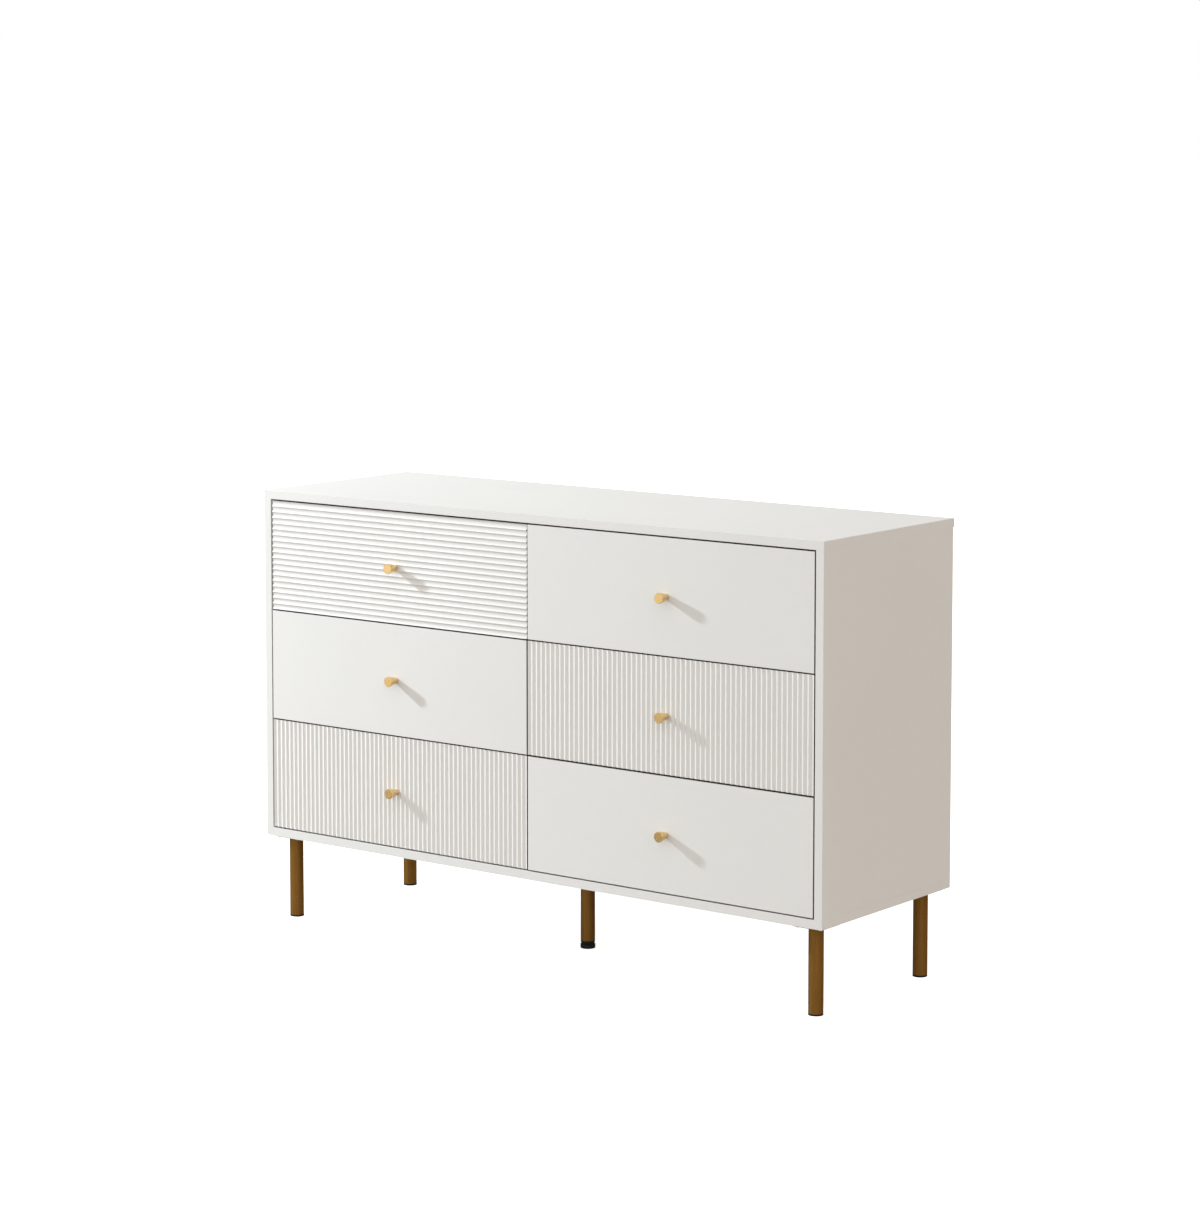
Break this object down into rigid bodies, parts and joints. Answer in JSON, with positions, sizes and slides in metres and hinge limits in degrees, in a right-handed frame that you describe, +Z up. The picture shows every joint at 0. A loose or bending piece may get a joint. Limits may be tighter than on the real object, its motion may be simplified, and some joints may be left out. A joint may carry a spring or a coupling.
{
  "type": "chest of drawers",
  "caption": "Low white dresser with two columns of drawers, some fronts fluted, conical brass knobs and round bronze legs; every drawer slides out on side runners.",
  "frame": {"origin": "on the floor, under the middle of the whole object with its knobs", "axes": "+X to the right as seen from the front, along the length; +Y to the back, across the depth; +Z up"},
  "size_m": [1.2, 0.412, 0.775],
  "materials": {
    "white_paint": "satin sprayed white paint on fibreboard",
    "drawer_board": "off-white foil on particleboard, matt",
    "hardboard": "painted smooth hardboard, matt",
    "brass": "fine brushed satin brass",
    "bronze_plate": "antique bronze plating on steel tube, brushed along its length",
    "black_plastic": "moulded, fine matt texture",
    "zinc_steel": "bright zinc plating"
  },
  "bodies": {
    "case": {"top_panel": "white_paint", "bottom_panel": "white_paint", "side_left": "white_paint", "side_right": "white_paint", "centre_divider": "white_paint", "back_panel_left": "hardboard", "back_panel_right": "hardboard", "leg_front_left": "bronze_plate", "leg_front_right": "bronze_plate", "leg_back_left": "bronze_plate", "leg_back_right": "bronze_plate", "leg_middle": "bronze_plate", "foot_front_left": "black_plastic", "foot_front_right": "black_plastic", "foot_back_left": "black_plastic", "foot_back_right": "black_plastic", "middle_leg_collar": "black_plastic", "bottom_left_runner_left": "zinc_steel", "bottom_left_runner_right": "zinc_steel", "bottom_right_runner_left": "zinc_steel", "bottom_right_runner_right": "zinc_steel", "middle_left_runner_left": "zinc_steel", "middle_left_runner_right": "zinc_steel", "middle_right_runner_left": "zinc_steel", "middle_right_runner_right": "zinc_steel", "top_left_runner_left": "zinc_steel", "top_left_runner_right": "zinc_steel", "top_right_runner_left": "zinc_steel", "top_right_runner_right": "zinc_steel"},
    "drawer_bottom_left": {"bottom_left_front": "white_paint", "bottom_left_box": "drawer_board", "bottom_left_bottom": "hardboard", "bottom_left_knob": "brass", "bottom_left_knob_screw": "zinc_steel"},
    "drawer_bottom_right": {"bottom_right_front": "white_paint", "bottom_right_box": "drawer_board", "bottom_right_bottom": "hardboard", "bottom_right_knob": "brass", "bottom_right_knob_screw": "zinc_steel"},
    "drawer_middle_left": {"middle_left_front": "white_paint", "middle_left_box": "drawer_board", "middle_left_bottom": "hardboard", "middle_left_knob": "brass", "middle_left_knob_screw": "zinc_steel"},
    "drawer_middle_right": {"middle_right_front": "white_paint", "middle_right_box": "drawer_board", "middle_right_bottom": "hardboard", "middle_right_knob": "brass", "middle_right_knob_screw": "zinc_steel"},
    "drawer_top_left": {"top_left_front": "white_paint", "top_left_box": "drawer_board", "top_left_bottom": "hardboard", "top_left_knob": "brass", "top_left_knob_screw": "zinc_steel"},
    "drawer_top_right": {"top_right_front": "white_paint", "top_right_box": "drawer_board", "top_right_bottom": "hardboard", "top_right_knob": "brass", "top_right_knob_screw": "zinc_steel"},
    "levelling_foot": {"levelling_foot": "black_plastic"}
  },
  "joints": [
    {"name": "slide_bottom_left", "type": "slide", "parent": "case", "child": "drawer_bottom_left", "axis": [0, -1, 0], "range_m": [0, 0.26]},
    {"name": "slide_bottom_right", "type": "slide", "parent": "case", "child": "drawer_bottom_right", "axis": [0, -1, 0], "range_m": [0, 0.26]},
    {"name": "slide_middle_left", "type": "slide", "parent": "case", "child": "drawer_middle_left", "axis": [0, -1, 0], "range_m": [0, 0.26]},
    {"name": "slide_middle_right", "type": "slide", "parent": "case", "child": "drawer_middle_right", "axis": [0, -1, 0], "range_m": [0, 0.26]},
    {"name": "slide_top_left", "type": "slide", "parent": "case", "child": "drawer_top_left", "axis": [0, -1, 0], "range_m": [0, 0.26]},
    {"name": "slide_top_right", "type": "slide", "parent": "case", "child": "drawer_top_right", "axis": [0, -1, 0], "range_m": [0, 0.26]},
    {"name": "levelling_screw", "type": "slide", "parent": "case", "child": "levelling_foot", "axis": [0, 0, -1], "range_m": [0, 0.008]}
  ]
}
